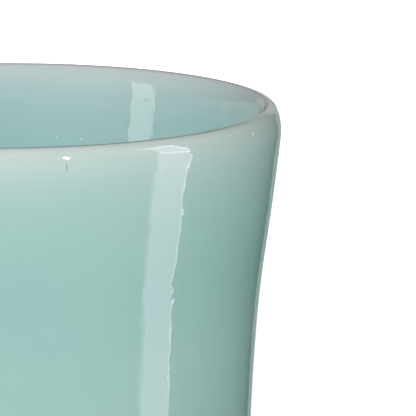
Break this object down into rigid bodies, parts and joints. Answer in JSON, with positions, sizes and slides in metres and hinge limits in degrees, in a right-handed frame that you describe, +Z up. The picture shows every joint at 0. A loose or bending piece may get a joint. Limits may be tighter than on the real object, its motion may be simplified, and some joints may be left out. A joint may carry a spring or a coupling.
{
  "type": "brush pot",
  "caption": "Waisted round porcelain pot with a flared lip and a celadon glaze, which holds writing brushes upright on a desk.",
  "frame": {"origin": "centre of the foot ring, on the plane it stands on", "axes": "+Z up along the pot's axis; X and Y are free, because the pot is round"},
  "size_m": [0.1256, 0.1256, 0.136],
  "materials": {
    "bare_porcelain": "unglazed, fine-grained and slightly warm where it met the kiln's air",
    "celadon_outside": "glossy blue-green celadon glaze, thin and nearly white on the lip",
    "celadon_inside": "glossy blue-green celadon glaze, deeper where it gathered round the floor",
    "celadon_base": "glossy blue-green celadon glaze, thinner than on the wall"
  },
  "bodies": {
    "root": {"porcelain_body": "bare_porcelain", "outer_glaze": "celadon_outside", "inner_glaze": "celadon_inside", "base_glaze": "celadon_base"}
  },
  "joints": []
}
